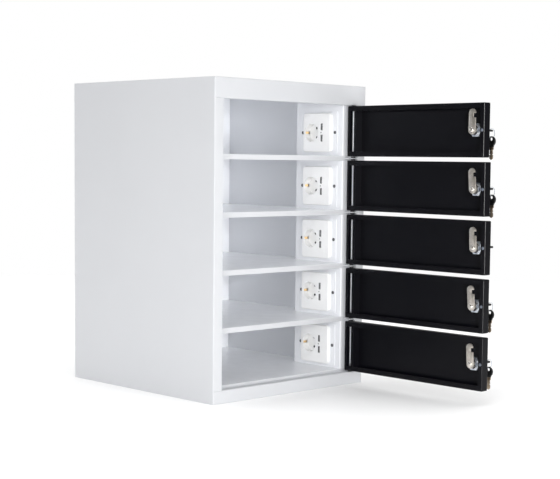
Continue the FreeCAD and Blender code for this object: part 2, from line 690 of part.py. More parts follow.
def key_shape():
    """A key along +Y from its bow's end, in the YZ plane: round bow with a hole, shank and cut blade."""
    bow_end = BOW_LENGTH
    tip = bow_end + SHANK_OUT + BLADE_LENGTH
    radius = BOW_WIDTH / 2
    half = BOW_THICKNESS / 2
    bow = rod(radius, (-half, radius, 0), (1, 0, 0), BOW_THICKNESS)
    neck = box(-half, half, radius, bow_end, -5.5, 5.5)
    bow = bow.fuse(neck).removeSplitter()
    bow = bow.makeFillet(1.2, [e for e in bow.Edges if abs(abs(e.CenterOfMass.x) - half) < 0.01])
    blade_half = BLADE_HEIGHT / 2
    thin = BLADE_WIDTH / 2
    wide = blade_half + 1.2
    blade = box(-thin, thin, bow_end - BLADE_IN_BOW, tip, -blade_half, blade_half)
    shoulder = box(-thin, thin, bow_end - BLADE_IN_BOW, bow_end + SHANK_OUT - 1, -wide, wide)
    cuts = []
    for index, depth in enumerate((1.5, 0.8, 1.8)):
        y = bow_end + SHANK_OUT + 1.8 + 3.2 * index
        for side in (-1, 1):
            edge = side * (blade_half + 0.6)
            cuts.append(wedge([(y - 1.6, edge), (y, side * (blade_half - depth)), (y + 1.6, edge)]))
    for side in (-1, 1):
        edge = side * (blade_half + 0.5)
        cuts.append(wedge([(tip - 3.2, edge), (tip + 1, side * 0.6), (tip + 1, edge)]))
    metal = blade.fuse(shoulder).removeSplitter().cut(cuts)
    hole = rod(BOW_HOLE, (-half - 1, BOW_HOLE_INSET, 0), (1, 0, 0), BOW_THICKNESS + 2)
    bow = bow.cut(box(-thin, thin, bow_end - BLADE_IN_BOW, bow_end + 1, -wide, wide))
    return Part.makeCompound([bow.cut(hole), metal])


def key(centre):
    """The key in the lock, lying flat, its bow standing out in front of the door."""
    solid = key_shape()
    solid.rotate(Vector(0, 0, 0), Vector(0, 1, 0), 90)
    solid.translate(Vector(LOCK_X, FRONT - KEY_OUT, centre))
    return solid


def key_ring(centre):
    """Wire ring down through the hole of the key in the lock and round the end of its bow."""
    middle = Vector(LOCK_X, FRONT - RING_FROM_FACE, centre - RING_DOWN)
    return Part.makeTorus(RING_RADIUS, RING_WIRE, middle, Vector(1, 0, 0))


def spare_key(centre):
    """The second key, hanging from the ring with its blade down and its face along the door."""
    solid = key_shape()
    solid.rotate(Vector(0, 0, 0), Vector(1, 0, 0), -90)
    solid.rotate(Vector(0, 0, 0), Vector(0, 0, 1), 90)
    wire = centre - RING_DOWN - RING_RADIUS
    hole_z = wire + RING_WIRE - BOW_HOLE + RING_CLEARANCE
    solid.translate(Vector(LOCK_X, FRONT - RING_FROM_FACE, hole_z + BOW_HOLE_INSET))
    return solid


def open_door(solid, index):
    """Swing a piece of a closed door about the hinge rod to the angle at which it stands."""
    return solid.rotated(Vector(HINGE_X, HINGE_Y, 0), Vector(0, 0, 1), REST_ANGLES[index])


def turn_lock(solid, index):
    """Lean a piece that turns with the lock's plug, about the lock's axis."""
    return solid.rotated(Vector(LOCK_X, 0, DOOR_CENTRES[index]), Vector(0, 1, 0), CAM_TILTS[index])


# ---------------------------------------------------------------- mains inlet and wiring

def inlet_block(width, height, y0, y1):
    """A block centred on the mains inlet between two depths."""
    return box(INLET_X - width / 2, INLET_X + width / 2, y0, y1,
               INLET_Z - height / 2, INLET_Z + height / 2)


def mains_inlet():
    """Snap-in three-pin appliance inlet: flange, body and recess."""
    face = BACK - SHEET
    flange = inlet_block(INLET_FLANGE_WIDTH, INLET_FLANGE_HEIGHT, face, face + 1.0)
    body = inlet_block(INLET_BODY_WIDTH, INLET_BODY_HEIGHT, face + 1.0 - INLET_BODY_DEPTH, face + 1.0)
    recess_floor = face + 1.0 - INLET_RECESS_DEPTH
    recess = inlet_block(INLET_RECESS_WIDTH, INLET_RECESS_HEIGHT, recess_floor, face + 3.0)
    return flange.fuse(body).removeSplitter().cut(recess)


def inlet_pins():
    """Three flat contact pins in the inlet."""
    back = BACK - SHEET + 1.0 - INLET_RECESS_DEPTH
    pins = []
    for x, z in ((-7.0, -2.0), (7.0, -2.0), (0.0, 2.0)):
        pins.append(box(INLET_X + x - 1.0, INLET_X + x + 1.0, back, back + 13.0,
                        INLET_Z + z - 2.0, INLET_Z + z + 2.0))
    return Part.makeCompound(pins)


def terminal_block():
    """Terminal strip under the floor plate, where the feed meets the riser."""
    low = SHEET
    strip = box(INLET_X - 22, INLET_X + 22, TERMINAL_Y - 9, TERMINAL_Y + 9, low, low + 4)
    for n in range(4):
        x = INLET_X - 16.5 + 11 * n
        cell = box(x - 4.5, x + 4.5, TERMINAL_Y - 8, TERMINAL_Y + 8, low + 4, low + 17)
        cell = cell.cut(rod(2.0, (x, TERMINAL_Y, low + 12), (0, 0, 1), 10))
        strip = strip.fuse(cell)
    return strip.removeSplitter()


def wiring_harness():
    """Feed from the inlet to the terminal strip, and a riser with a branch to each outlet."""
    inlet_back = BACK - SHEET + 1.0 - INLET_BODY_DEPTH
    feed = cable([
        (INLET_X, inlet_back, INLET_Z),
        (INLET_X, 140, INLET_Z),
        (INLET_X, 60, INLET_Z - 5),
        (INLET_X, TERMINAL_Y + 8, INLET_Z - 5),
    ], CABLE_RADIUS, 60)
    riser_x = RIGHT - 10
    riser_y = CHANNEL_BACK - 14
    riser = cable([
        (INLET_X, TERMINAL_Y - 8, INLET_Z - 5),
        (INLET_X, TERMINAL_Y - 24, INLET_Z - 5),
        (riser_x, riser_y, INLET_Z - 3),
        (riser_x, riser_y, DOOR_CENTRES[0] + 8),
    ], CABLE_RADIUS, 12)
    insert_back = COVER_FACE + CUP_DEPTH + CUP_BODY
    for centre in OUTLET_CENTRES:
        riser = riser.fuse(cable([
            (insert_back, OUTLET_Y + CUP_OFFSET, centre + 6),
            (insert_back + 6, OUTLET_Y + CUP_OFFSET, centre + 6),
            (riser_x, riser_y, centre - 20),
        ], BRANCH_RADIUS, 8))
    return Part.makeCompound([feed, riser])


# ---------------------------------------------------------------- all nodes

nodes = {
    "left_side_panel": side_panel(),
    "right_side_panel": hinge_side_panel(),
    "top_panel": rail_panel(HEIGHT, HEIGHT - TOP_RAIL, 1),
    "bottom_panel": rail_panel(0, BOTTOM_RAIL, -1),
    "back_panel": back_panel(),
    "inner_back_panel": inner_back_panel(),
    "floor_plate": shelf(FLOOR_TOP),
    "socket_channel": socket_channel(),
    "socket_plates": at_each_outlet(socket_plate),
    "outlet_covers": at_each_outlet(outlet_cover),
    "outlet_inserts": at_each_outlet(outlet_insert),
    "usb_modules": usb_modules(),
    "earth_clips": earth_clips(),
    "plate_screws": plate_screws(),
    "hinge_rod": hinge_rod(),
    "hinge_lugs": hinge_lugs(),
    "hinge_bushes": hinge_bushes(),
    "mains_inlet": mains_inlet(),
    "inlet_pins": inlet_pins(),
    "terminal_block": terminal_block(),
    "wiring_harness": wiring_harness(),
}
for number, top in enumerate(SHELF_TOPS, start=1):
    nodes[f"shelf_{number}"] = shelf(top)
for index, centre in enumerate(DOOR_CENTRES):
    number = index + 1
    nodes[f"door_{number}"] = open_door(door(DOOR_BOTTOMS[index]), index)
    nodes[f"lock_body_{number}"] = open_door(lock_body(centre), index)
    nodes[f"lock_nut_{number}"] = open_door(lock_nut(centre), index)
    nodes[f"lock_cam_{number}"] = open_door(turn_lock(lock_cam(centre), index), index)
    nodes[f"key_{number}"] = open_door(turn_lock(key(centre), index), index)
    if number != NO_SPARE_KEY:
        nodes[f"key_ring_{number}"] = open_door(key_ring(centre), index)
        nodes[f"spare_key_{number}"] = open_door(spare_key(centre), index)

os.makedirs("parts", exist_ok=True)
for name, shape in nodes.items():
    shape.exportStep(f"parts/{name}.step")
    print(name, "valid" if shape.isValid() else "NOT VALID", len(shape.Solids), round(shape.Volume, 1))
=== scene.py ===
import json
import math

import bmesh
import bpy
from mathutils import Matrix, Vector


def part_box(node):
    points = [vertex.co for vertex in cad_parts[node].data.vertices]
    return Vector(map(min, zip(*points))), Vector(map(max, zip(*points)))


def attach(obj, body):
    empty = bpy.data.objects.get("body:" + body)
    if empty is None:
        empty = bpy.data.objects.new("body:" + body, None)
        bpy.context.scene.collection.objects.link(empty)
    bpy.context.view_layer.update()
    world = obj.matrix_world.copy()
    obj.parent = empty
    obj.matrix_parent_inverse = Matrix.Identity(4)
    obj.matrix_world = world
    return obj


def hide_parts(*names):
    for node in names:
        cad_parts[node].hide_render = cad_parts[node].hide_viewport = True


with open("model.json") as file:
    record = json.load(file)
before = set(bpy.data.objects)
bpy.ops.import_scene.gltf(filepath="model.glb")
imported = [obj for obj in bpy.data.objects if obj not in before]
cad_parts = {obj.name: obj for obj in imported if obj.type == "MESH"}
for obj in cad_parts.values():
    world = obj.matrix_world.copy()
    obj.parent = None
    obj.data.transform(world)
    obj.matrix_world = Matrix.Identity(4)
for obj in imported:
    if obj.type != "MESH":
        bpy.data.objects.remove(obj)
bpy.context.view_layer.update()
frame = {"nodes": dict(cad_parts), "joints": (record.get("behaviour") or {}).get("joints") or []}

NODES = frame["nodes"]
JOINTS = {joint["name"]: joint for joint in frame["joints"]}
LOCKERS = 5
MM = 0.001

# Lock, measured from the lock's axis on the door's skin: x towards the hinge, y inwards, z up.
ROSETTE_RADIUS = 12.3 * MM
ROSETTE_HEIGHT = 4.5 * MM
PLUG_INSET = 0.3 * MM
BARREL_RADIUS = 9.5 * MM
BARREL_LENGTH = 21.5 * MM
BARREL_FLAT = 8.2 * MM
FLATS_START = 10.0 * MM
NUT_FLATS = 24.0 * MM
NUT_START = 8.4 * MM
NUT_END = 15.8 * MM
SLEEVE_RADIUS = 11.6 * MM
THREAD_PITCH = 1.0 * MM
THREAD_DEPTH = 0.45 * MM
PLUG_RADIUS = 6.5 * MM
PLUG_BORE = 6.56 * MM
KEYWAY_WIDTH = 2.8 * MM
KEYWAY_HEIGHT = 8.8 * MM
KEYWAY_LENGTH = 20.5 * MM
CAM_FACE = 24.0 * MM
CAM_THICKNESS = 2.0 * MM
CAM_HALF = 8.0 * MM
CAM_REACH = 38.7 * MM
NOTCH_LOW = 23.0 * MM
NOTCH_HIGH = 30.4 * MM
NOTCH_DEPTH = 5.5 * MM
NOTCH_ROUND = 0.8 * MM
WASHER_THICKNESS = 0.9 * MM

# Keys, from the end of the bow.
BOW_RADIUS = 9.5 * MM
BOW_LENGTH = 20.0 * MM
BOW_THICKNESS = 3.8 * MM
BOW_HOLE = 3.4 * MM
BOW_HOLE_INSET = 5.2 * MM
POCKET_RADIUS = 5.4 * MM
POCKET_DEPTH = 0.35 * MM
GROOVE_OFFSET = 1.4 * MM
GROOVE_HALF = 0.7 * MM
GROOVE_DEPTH = 0.45 * MM
NECK_HALF = 5.5 * MM
SHANK = 5.5 * MM
BLADE_LENGTH = 18.0 * MM
BLADE_HALF = 3.8 * MM
BLADE_THICKNESS = 2.0 * MM
RING_RADIUS = 8.6 * MM
RING_WIRE = 0.40 * MM
RING_TO_HOLE = 2.0 * MM
NO_SPARE_KEY = 3

# Outlets, door buffers and rear rivets.
DOOR_DEPTH = 17.5 * MM
OUTLET_DROP = 2.2 * MM
CUP_DEPTH = 15.0 * MM
PIN_SPACING = 19.0 * MM
LAMP_RADIUS = 1.25 * MM
LAMP_OFFSET = 2.0 * MM
USB_SPACING = 22.8 * MM
TONGUE_OFFSET = 0.7 * MM
TONGUE_HALF = 0.95 * MM
CONTACT_PITCH = 2.6 * MM
CONTACT_WIDTH = 1.3 * MM
BUFFER_OFFSET = 17.0 * MM
BUFFER_RADIUS = 3.0 * MM
BUFFER_HEIGHT = 1.9 * MM
INTO_OUTLET = Matrix.Rotation(math.radians(-90), 4, "Z")

RIVET_INSET = 9.0 * MM
RIVET_START = 45.0 * MM
RIVET_PITCH = 85.0 * MM
RIVETS_UP = 7
RIVETS_ACROSS = 3

# Parts that share a material or a light.
SHELVES = ["floor_plate"] + [f"shelf_{n}" for n in range(1, LOCKERS)]
OUTLETS = ["socket_channel", "socket_plates", "outlet_covers", "outlet_inserts",
           "earth_clips", "plate_screws"]
DOORS = [f"door_{n}" for n in range(1, LOCKERS + 1)]

FLOOR_RADIUS = 2.6

# Sharpest bend, in degrees, that is still shaded as a curve.
SMOOTH_ANGLE = 35.0
CAD_SMOOTH_ANGLE = 30.0


# ---------------------------------------------------------------- materials

# The stretch of a noise texture's range that its values mostly fall in.
NOISE_LOW = 0.3
NOISE_HIGH = 0.7


class Shader:
    """A node material built around one Principled shader."""

    def __init__(self, name, color, roughness, metallic=0.0, **sockets):
        self.material = bpy.data.materials.new(name)
        self.material.use_nodes = True
        self.nodes = self.material.node_tree.nodes
        self.links = self.material.node_tree.links
        self.shader = self.nodes["Principled BSDF"]
        self.set("Base Color", (*color, 1.0))
        self.set("Roughness", roughness)
        self.set("Metallic", metallic)
        for socket, value in sockets.items():
            self.set(socket.replace("_", " "), value)
        self.place = self.nodes.new("ShaderNodeTexCoord").outputs["Object"]
        self.height = None

    def set(self, socket, value):
        self.shader.inputs[socket].default_value = value

    def stretched(self, scale):
        """Object coordinates scaled differently along the axes, for grain and scratches."""
        mapping = self.nodes.new("ShaderNodeMapping")
        mapping.inputs["Scale"].default_value = scale
        self.links.new(self.place, mapping.inputs["Vector"])
        return mapping.outputs["Vector"]

    def noise(self, size, detail=2.0, vector=None):
        """Noise whose features are about this large, in metres."""
        texture = self.nodes.new("ShaderNodeTexNoise")
        texture.inputs["Scale"].default_value = 1.0 / size
        texture.inputs["Detail"].default_value = detail
        self.links.new(vector or self.place, texture.inputs["Vector"])
        return texture.outputs["Fac"]

    def vary_color(self, value, low, high):
        """Base colour between two colours, led by a noise value."""
        ramp = self.nodes.new("ShaderNodeValToRGB")
        ramp.color_ramp.elements[0].position = NOISE_LOW
        ramp.color_ramp.elements[0].color = (*low, 1.0)
        ramp.color_ramp.elements[1].position = NOISE_HIGH
        ramp.color_ramp.elements[1].color = (*high, 1.0)
        self.links.new(value, ramp.inputs["Fac"])
        self.links.new(ramp.outputs["Color"], self.shader.inputs["Base Color"])

    def vary_roughness(self, value, low, high):
        """Roughness between two values, led by a noise value."""
        node = self.nodes.new("ShaderNodeMapRange")
        node.inputs["From Min"].default_value = NOISE_LOW
        node.inputs["From Max"].default_value = NOISE_HIGH
        node.inputs["To Min"].default_value = low
        node.inputs["To Max"].default_value = high
        self.links.new(value, node.inputs["Value"])
        self.links.new(node.outputs["Result"], self.shader.inputs["Roughness"])

    def bump(self, value, depth):
        """Add relief of this depth, in metres, on top of any relief so far."""
        node = self.nodes.new("ShaderNodeBump")
        node.inputs["Distance"].default_value = depth
        node.inputs["Strength"].default_value = 1.0
        self.links.new(value, node.inputs["Height"])
        if self.height is not None:
            self.links.new(self.height, node.inputs["Normal"])
        self.height = node.outputs["Normal"]
        self.links.new(self.height, self.shader.inputs["Normal"])


def tinted(color, factor):
    return tuple(channel * factor for channel in color)


def powder_coat(name, color, roughness, peel, **sockets):
    """Baked powder: fine orange peel, a finer grain in it, and a faint cloudiness."""
    made = Shader(name, color, roughness, **sockets)
    made.vary_color(made.noise(0.12, 3.0), tinted(color, 0.985), tinted(color, 1.0))
    made.vary_roughness(made.noise(0.03, 1.0), roughness, roughness + 0.03)
    made.bump(made.noise(0.0016, 2.0), peel)
    made.bump(made.noise(0.0004, 2.0), peel * 0.25)
    return made.material


def plastic(name, color, roughness, grain=0.00002):
    """Moulded plastic with a fine spark-eroded grain."""
    made = Shader(name, color, roughness)
    made.vary_color(made.noise(0.02, 3.0), tinted(color, 0.97), color)
    made.vary_roughness(made.noise(0.008, 1.0), roughness, roughness + 0.03)
    made.bump(made.noise(0.0006, 3.0), grain)
    return made.material


def plated(name, color, roughness, stain, brushed=(1.0, 1.0, 1.0), scratch=0.00001):
    """Plated metal: slight staining, uneven gloss and fine scratches along one direction."""
    made = Shader(name, color, roughness, metallic=1.0)
    made.vary_color(made.noise(0.006, 4.0), stain, color)
    grain = made.noise(0.0006, 4.0, vector=made.stretched(brushed))
    made.vary_roughness(grain, max(roughness - 0.08, 0.04), roughness + 0.1)
    made.bump(grain, scratch)
    return made.material


WHITE = (0.775, 0.787, 0.813)
BLACK = (0.0006, 0.0006, 0.0011)
MATERIALS = {
    "white_coat": powder_coat("white_coat", WHITE, 0.48, 0.00003),
    "shelf_coat": powder_coat("shelf_coat", WHITE, 0.24, 0.000003),
    "black_coat": powder_coat("black_coat", BLACK, 0.32, 0.00001, Specular_IOR_Level=0.13),
    "outlet": plastic("outlet", (0.87, 0.87, 0.865), 0.30, grain=0.00001),
    "port": plastic("port", (0.02, 0.02, 0.022), 0.4),
    "brass": plated("brass", (0.50, 0.36, 0.19), 0.32, (0.38, 0.26, 0.13)),
    "dark_screw": plated("dark_screw", (0.16, 0.16, 0.17), 0.38, (0.08, 0.08, 0.085)),
    "zinc": plated("zinc", (0.80, 0.84, 0.90), 0.36, (0.66, 0.72, 0.80)),
    "rod_zinc": plated("rod_zinc", (0.84, 0.85, 0.87), 0.34, (0.70, 0.72, 0.76), brushed=(6.0, 6.0, 0.5)),
    "cam_nickel": plated("cam_nickel", (0.66, 0.62, 0.56), 0.34, (0.50, 0.46, 0.41), brushed=(4.0, 1.0, 0.6),
                         scratch=0.00002),
    "bright_steel": plated("bright_steel", (0.88, 0.86, 0.82), 0.18, (0.70, 0.66, 0.60)),
    "chrome": plated("chrome", (0.72, 0.73, 0.75), 0.14, (0.60, 0.61, 0.64)),
    "blade": plated("blade", (0.48, 0.40, 0.31), 0.34, (0.36, 0.29, 0.22), brushed=(1.0, 1.0, 6.0)),
    "bow": plastic("bow", (0.014, 0.014, 0.015), 0.38, grain=0.00003),
    "nylon": plastic("nylon", (0.012, 0.012, 0.013), 0.5),
    "natural_nylon": plastic("natural_nylon", (0.80, 0.79, 0.74), 0.4),
    "sheath": plastic("sheath", (0.55, 0.56, 0.57), 0.45),
    "rubber": plastic("rubber", (0.14, 0.16, 0.20), 0.30),
    "tongue": plastic("tongue", (0.72, 0.72, 0.72), 0.4),
    "lamp": plastic("lamp", (0.10, 0.11, 0.12), 0.15),
}


# ---------------------------------------------------------------- mesh helpers

def add_piece(name, mesh_source, material, body, place=None, replaces=(), smooth_angle=SMOOTH_ANGLE):
    """Make an object from a bmesh, in the row frame, and let it ride on a body."""
    mesh = bpy.data.meshes.new(name)
    bmesh.ops.recalc_face_normals(mesh_source, faces=mesh_source.faces)
    mesh_source.to_mesh(mesh)
    mesh_source.free()
    if place is not None:
        mesh.transform(place)
    mesh.materials.append(MATERIALS[material])
    piece = bpy.data.objects.new(name, mesh)
    bpy.context.scene.collection.objects.link(piece)
    mesh.shade_smooth()
    mesh.set_sharp_from_angle(angle=math.radians(smooth_angle))
    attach(piece, body)
    if replaces:
        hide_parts(*replaces)
    return piece


def lathed(profile, segments=48):
    """A closed profile of (radius, height) turned about local Y."""
    shape = bmesh.new()
    rings = []
    for turn in range(segments):
        angle = 2 * math.pi * turn / segments
        rings.append([shape.verts.new((r * math.cos(angle), y, r * math.sin(angle))) for r, y in profile])
    count = len(profile)
    for turn in range(segments):
        ring = rings[turn]
        following = rings[(turn + 1) % segments]
        for index in range(count):
            after = (index + 1) % count
            shape.faces.new((ring[index], ring[after], following[after], following[index]))
    bmesh.ops.remove_doubles(shape, verts=shape.verts, dist=1e-7)
    bmesh.ops.dissolve_degenerate(shape, edges=shape.edges, dist=1e-7)
    return shape


def extruded(outline, low, high, bevel=0.0, segments=2):
    """A plate with this outline in local XZ, between two heights along local Y, its edges softened."""
    shape = bmesh.new()
    bottom = [shape.verts.new((x, low, z)) for x, z in outline]
    top = [shape.verts.new((x, high, z)) for x, z in outline]
    shape.faces.new(bottom)
    shape.faces.new(list(reversed(top)))
    count = len(outline)
    for index in range(count):
        after = (index + 1) % count
        shape.faces.new((bottom[index], top[index], top[after], bottom[after]))
    bmesh.ops.recalc_face_normals(shape, faces=shape.faces)
    if bevel:
        rims = [e for e in shape.edges if abs(e.verts[0].co.y - e.verts[1].co.y) < 1e-9]
        bmesh.ops.bevel(shape, geom=rims, offset=bevel, segments=segments, affect="EDGES", profile=0.5)
    return shape


def arc(centre_x, centre_z, radius, start, end, steps):
    """Points along an arc, from one angle to another in degrees."""
    points = []
    for step in range(steps + 1):
        angle = math.radians(start + (end - start) * step / steps)
        points.append((centre_x + radius * math.cos(angle), centre_z + radius * math.sin(angle)))
    return points


def tube(points, radius, sides=10):
    """A round tube with flat ends along a list of points."""
    shape = bmesh.new()
    rings = []
    last = len(points) - 1
    side = Vector((1, 0, 0))
    for index, point in enumerate(points):
        before = points[max(index - 1, 0)]
        after = points[min(index + 1, last)]
        along = (after - before).normalized()
        across = side.cross(along).normalized()
        up = along.cross(across)
        ring = []
        for k in range(sides):
            angle = 2 * math.pi * k / sides
            offset = across * (radius * math.cos(angle)) + up * (radius * math.sin(angle))
            ring.append(shape.verts.new(point + offset))
        rings.append(ring)
    for ring, following in zip(rings, rings[1:]):
        for k in range(sides):
            after = (k + 1) % sides
            shape.faces.new((ring[k], ring[after], following[after], following[k]))
    shape.faces.new(rings[0])
    shape.faces.new(list(reversed(rings[-1])))
    return shape


def cut(piece, tool_shape, place):
    """Take a tool's shape out of a piece for good."""
    mesh = bpy.data.meshes.new("tool")
    bmesh.ops.recalc_face_normals(tool_shape, faces=tool_shape.faces)
    tool_shape.to_mesh(mesh)
    tool_shape.free()
    mesh.transform(place)
    tool = bpy.data.objects.new("tool", mesh)
    bpy.context.scene.collection.objects.link(tool)
    modifier = piece.modifiers.new("cut", "BOOLEAN")
    modifier.operation = "DIFFERENCE"
    modifier.solver = "EXACT"
    modifier.object = tool
    graph = bpy.context.evaluated_depsgraph_get()
    result = bpy.data.meshes.new_from_object(piece.evaluated_get(graph))
    piece.modifiers.clear()
    piece.data = result
    result.set_sharp_from_angle(angle=math.radians(SMOOTH_ANGLE))
    bpy.data.objects.remove(tool)


def joined(shape, part, place):
    """Add a small shape to a larger one at a place."""
    mesh = bpy.data.meshes.new("part")
    bmesh.ops.recalc_face_normals(part, faces=part.faces)
    part.to_mesh(mesh)
    part.free()
    mesh.transform(place)
    shape.from_mesh(mesh)
    bpy.data.meshes.remove(mesh)


def block(x0, x1, y0, y1, z0, z1):
    """A plain block, for cutting and for the ports' contacts."""
    shape = bmesh.new()
    bmesh.ops.create_cube(shape, size=1.0)
    for vertex in shape.verts:
        vertex.co.x = x0 if vertex.co.x < 0 else x1
        vertex.co.y = y0 if vertex.co.y < 0 else y1
        vertex.co.z = z0 if vertex.co.z < 0 else z1
    return shape


# ---------------------------------------------------------------- places

def door_turn(number):
    """Turn of a door about the vertical: from shut, its hinge's low limit, to where it stands."""
    angle = math.radians(-JOINTS[f"door_{number}_hinge"]["range_deg"][0])
    return Matrix.Rotation(angle, 4, "Z")


def door_place(number):
    """Local axes at a door's lock: x towards the hinge, y inwards, z up."""
    return Matrix.Translation(Vector(JOINTS[f"lock_{number}_turn"]["pos_m"])) @ door_turn(number)


def lock_place(number):
    """The same, leaning with the lock's plug."""
    lean = math.radians(JOINTS[f"lock_{number}_turn"]["range_deg"][1] - 90.0)
    return door_place(number) @ Matrix.Rotation(lean, 4, "Y")


# ---------------------------------------------------------------- lock

def lock_body(number):
    """Rosette with a rolled edge and a threaded barrel with two flats."""
    profile = [
        (PLUG_BORE, -4.3 * MM), (PLUG_BORE + 0.3 * MM, -4.5 * MM), (10.2 * MM, -4.5 * MM),
        (11.3 * MM, -4.2 * MM), (12.0 * MM, -3.4 * MM), (ROSETTE_RADIUS, -2.4 * MM),
        (ROSETTE_RADIUS, -0.2 * MM), (12.1 * MM, 0.0), (BARREL_RADIUS, 0.0), (BARREL_RADIUS, 1.2 * MM),
    ]
    turns = int((BARREL_LENGTH - 2.6 * MM) / THREAD_PITCH)
    for turn in range(turns):
        start = 1.6 * MM + turn * THREAD_PITCH
        profile.append((BARREL_RADIUS - THREAD_DEPTH, start))
        profile.append((BARREL_RADIUS, start + THREAD_PITCH * 0.45))
        profile.append((BARREL_RADIUS, start + THREAD_PITCH * 0.6))
    profile += [(BARREL_RADIUS - 0.9 * MM, BARREL_LENGTH), (PLUG_BORE + 0.4 * MM, BARREL_LENGTH),
                (PLUG_BORE, BARREL_LENGTH - 0.4 * MM)]
    shape = lathed(profile, 64)
    for vertex in shape.verts:
        if vertex.co.y > FLATS_START:
            vertex.co.x = max(-BARREL_FLAT, min(BARREL_FLAT, vertex.co.x))
    return add_piece(f"lock_barrel_{number}", shape, "chrome", f"door_{number}",
                     door_place(number), replaces=[f"lock_body_{number}"])


def lock_nut(number):
    """Hexagonal nut chamfered on its free face, on a spacer sleeve with two grooves."""
    corner = NUT_FLATS / 2 / math.cos(math.pi / 6)
    shape = extruded(arc(0, 0, corner, 0, 300, 5), NUT_START, NUT_END, bevel=0.9 * MM, segments=3)
    place = door_place(number)
    piece = add_piece(f"hex_nut_{number}", shape, "zinc", f"door_{number}", place,
                      replaces=[f"lock_nut_{number}"], smooth_angle=25.0)
    wide = BARREL_RADIUS + 0.9 * MM
    bore = lathed([(0.0, NUT_START - MM), (BARREL_RADIUS, NUT_START - MM),
                   (BARREL_RADIUS, NUT_END - 0.8 * MM), (wide, NUT_END + 0.2 * MM),
                   (wide, NUT_END + MM), (0.0, NUT_END + MM)], 64)
    cut(piece, bore, place)
    profile = [(BARREL_RADIUS, 1.0 * MM)]
    for start, end in ((1.0, 3.0), (3.4, 6.0), (6.4, 8.4)):
        profile += [(SLEEVE_RADIUS - 0.2 * MM, start * MM), (SLEEVE_RADIUS, (start + 0.2) * MM),
                    (SLEEVE_RADIUS, (end - 0.2) * MM), (SLEEVE_RADIUS - 0.2 * MM, end * MM)]
    profile.append((BARREL_RADIUS, NUT_START))
    add_piece(f"spacer_sleeve_{number}", lathed(profile, 64), "zinc", f"door_{number}", place)
    return piece


def lock_plug(number):
    """Round plug with its keyway."""
    front = -ROSETTE_HEIGHT + PLUG_INSET
    place = lock_place(number)
    shape = lathed([(0.0, front), (PLUG_RADIUS - 0.4 * MM, front), (PLUG_RADIUS, front + 0.4 * MM),
                    (PLUG_RADIUS, CAM_FACE), (0.0, CAM_FACE)], 48)
    piece = add_piece(f"lock_plug_{number}", shape, "bright_steel", f"lock_{number}", place)
    half_width = KEYWAY_HEIGHT / 2
    half_height = KEYWAY_WIDTH / 2
    keyway = block(-half_width, half_width, front - MM, front + KEYWAY_LENGTH, -half_height, half_height)
    cut(piece, keyway, place)
    return piece


def cam(number):
    """Hooked cam plate with rounded ends and softened edges."""
    top = CAM_REACH - CAM_HALF
    soft = 1.2 * MM
    outline = arc(0, 0, CAM_HALF, 180, 360, 18)
    outline += arc(0, top, CAM_HALF, 0, 176, 18)
    outline.append((-CAM_HALF + 0.6 * MM, NOTCH_HIGH))
    bottom = -CAM_HALF + NOTCH_DEPTH - NOTCH_ROUND
    outline += arc(bottom, NOTCH_HIGH - NOTCH_ROUND, NOTCH_ROUND, 90, 0, 4)
    outline += arc(bottom, NOTCH_LOW + NOTCH_ROUND, NOTCH_ROUND, 0, -90, 4)
    outline += arc(-CAM_HALF + soft, NOTCH_LOW - soft, soft, 90, 180, 4)
    cleaned = [p for p, q in zip(outline, outline[1:] + outline[:1]) if math.dist(p, q) > 1e-6]
    shape = extruded(cleaned, CAM_FACE, CAM_FACE + CAM_THICKNESS, bevel=0.3 * MM)
    return add_piece(f"cam_{number}", shape, "cam_nickel", f"lock_{number}", lock_place(number),
                     replaces=[f"lock_cam_{number}"])


def cam_screw(number):
    """Washer and pan-head screw with a cross recess."""
    start = CAM_FACE + CAM_THICKNESS
    foot = start + WASHER_THICKNESS
    place = lock_place(number)
    washer = lathed([(2.2 * MM, start), (5.6 * MM, start), (5.9 * MM, start + 0.3 * MM),
                     (5.7 * MM, foot), (2.2 * MM, foot)], 40)
    add_piece(f"cam_washer_{number}", washer, "bright_steel", f"lock_{number}", place)
    head = lathed([(0.0, foot), (4.5 * MM, foot), (4.6 * MM, foot + 0.7 * MM), (4.2 * MM, foot + 1.4 * MM),
                   (3.2 * MM, foot + 1.9 * MM), (0.0, foot + 2.1 * MM)], 40)
    piece = add_piece(f"cam_screw_{number}", head, "bright_steel", f"lock_{number}", place)
    deep = foot + 0.9 * MM
    for width, height in ((1.1 * MM, 5.0 * MM), (5.0 * MM, 1.1 * MM)):
        cut(piece, block(-width / 2, width / 2, deep, deep + 3 * MM, -height / 2, height / 2), place)
    return piece


# ---------------------------------------------------------------- keys

def key_bow_outline():
    """Round bow with straight shoulders, along local Z from its end at zero."""
    join = math.degrees(math.asin(NECK_HALF / BOW_RADIUS))
    points = arc(0, BOW_RADIUS, BOW_RADIUS, 90 - join, -270 + join, 44)
    points += [(-NECK_HALF, BOW_LENGTH - 0.8 * MM), (-NECK_HALF + 0.8 * MM, BOW_LENGTH),
               (NECK_HALF - 0.8 * MM, BOW_LENGTH), (NECK_HALF, BOW_LENGTH - 0.8 * MM)]
    return points


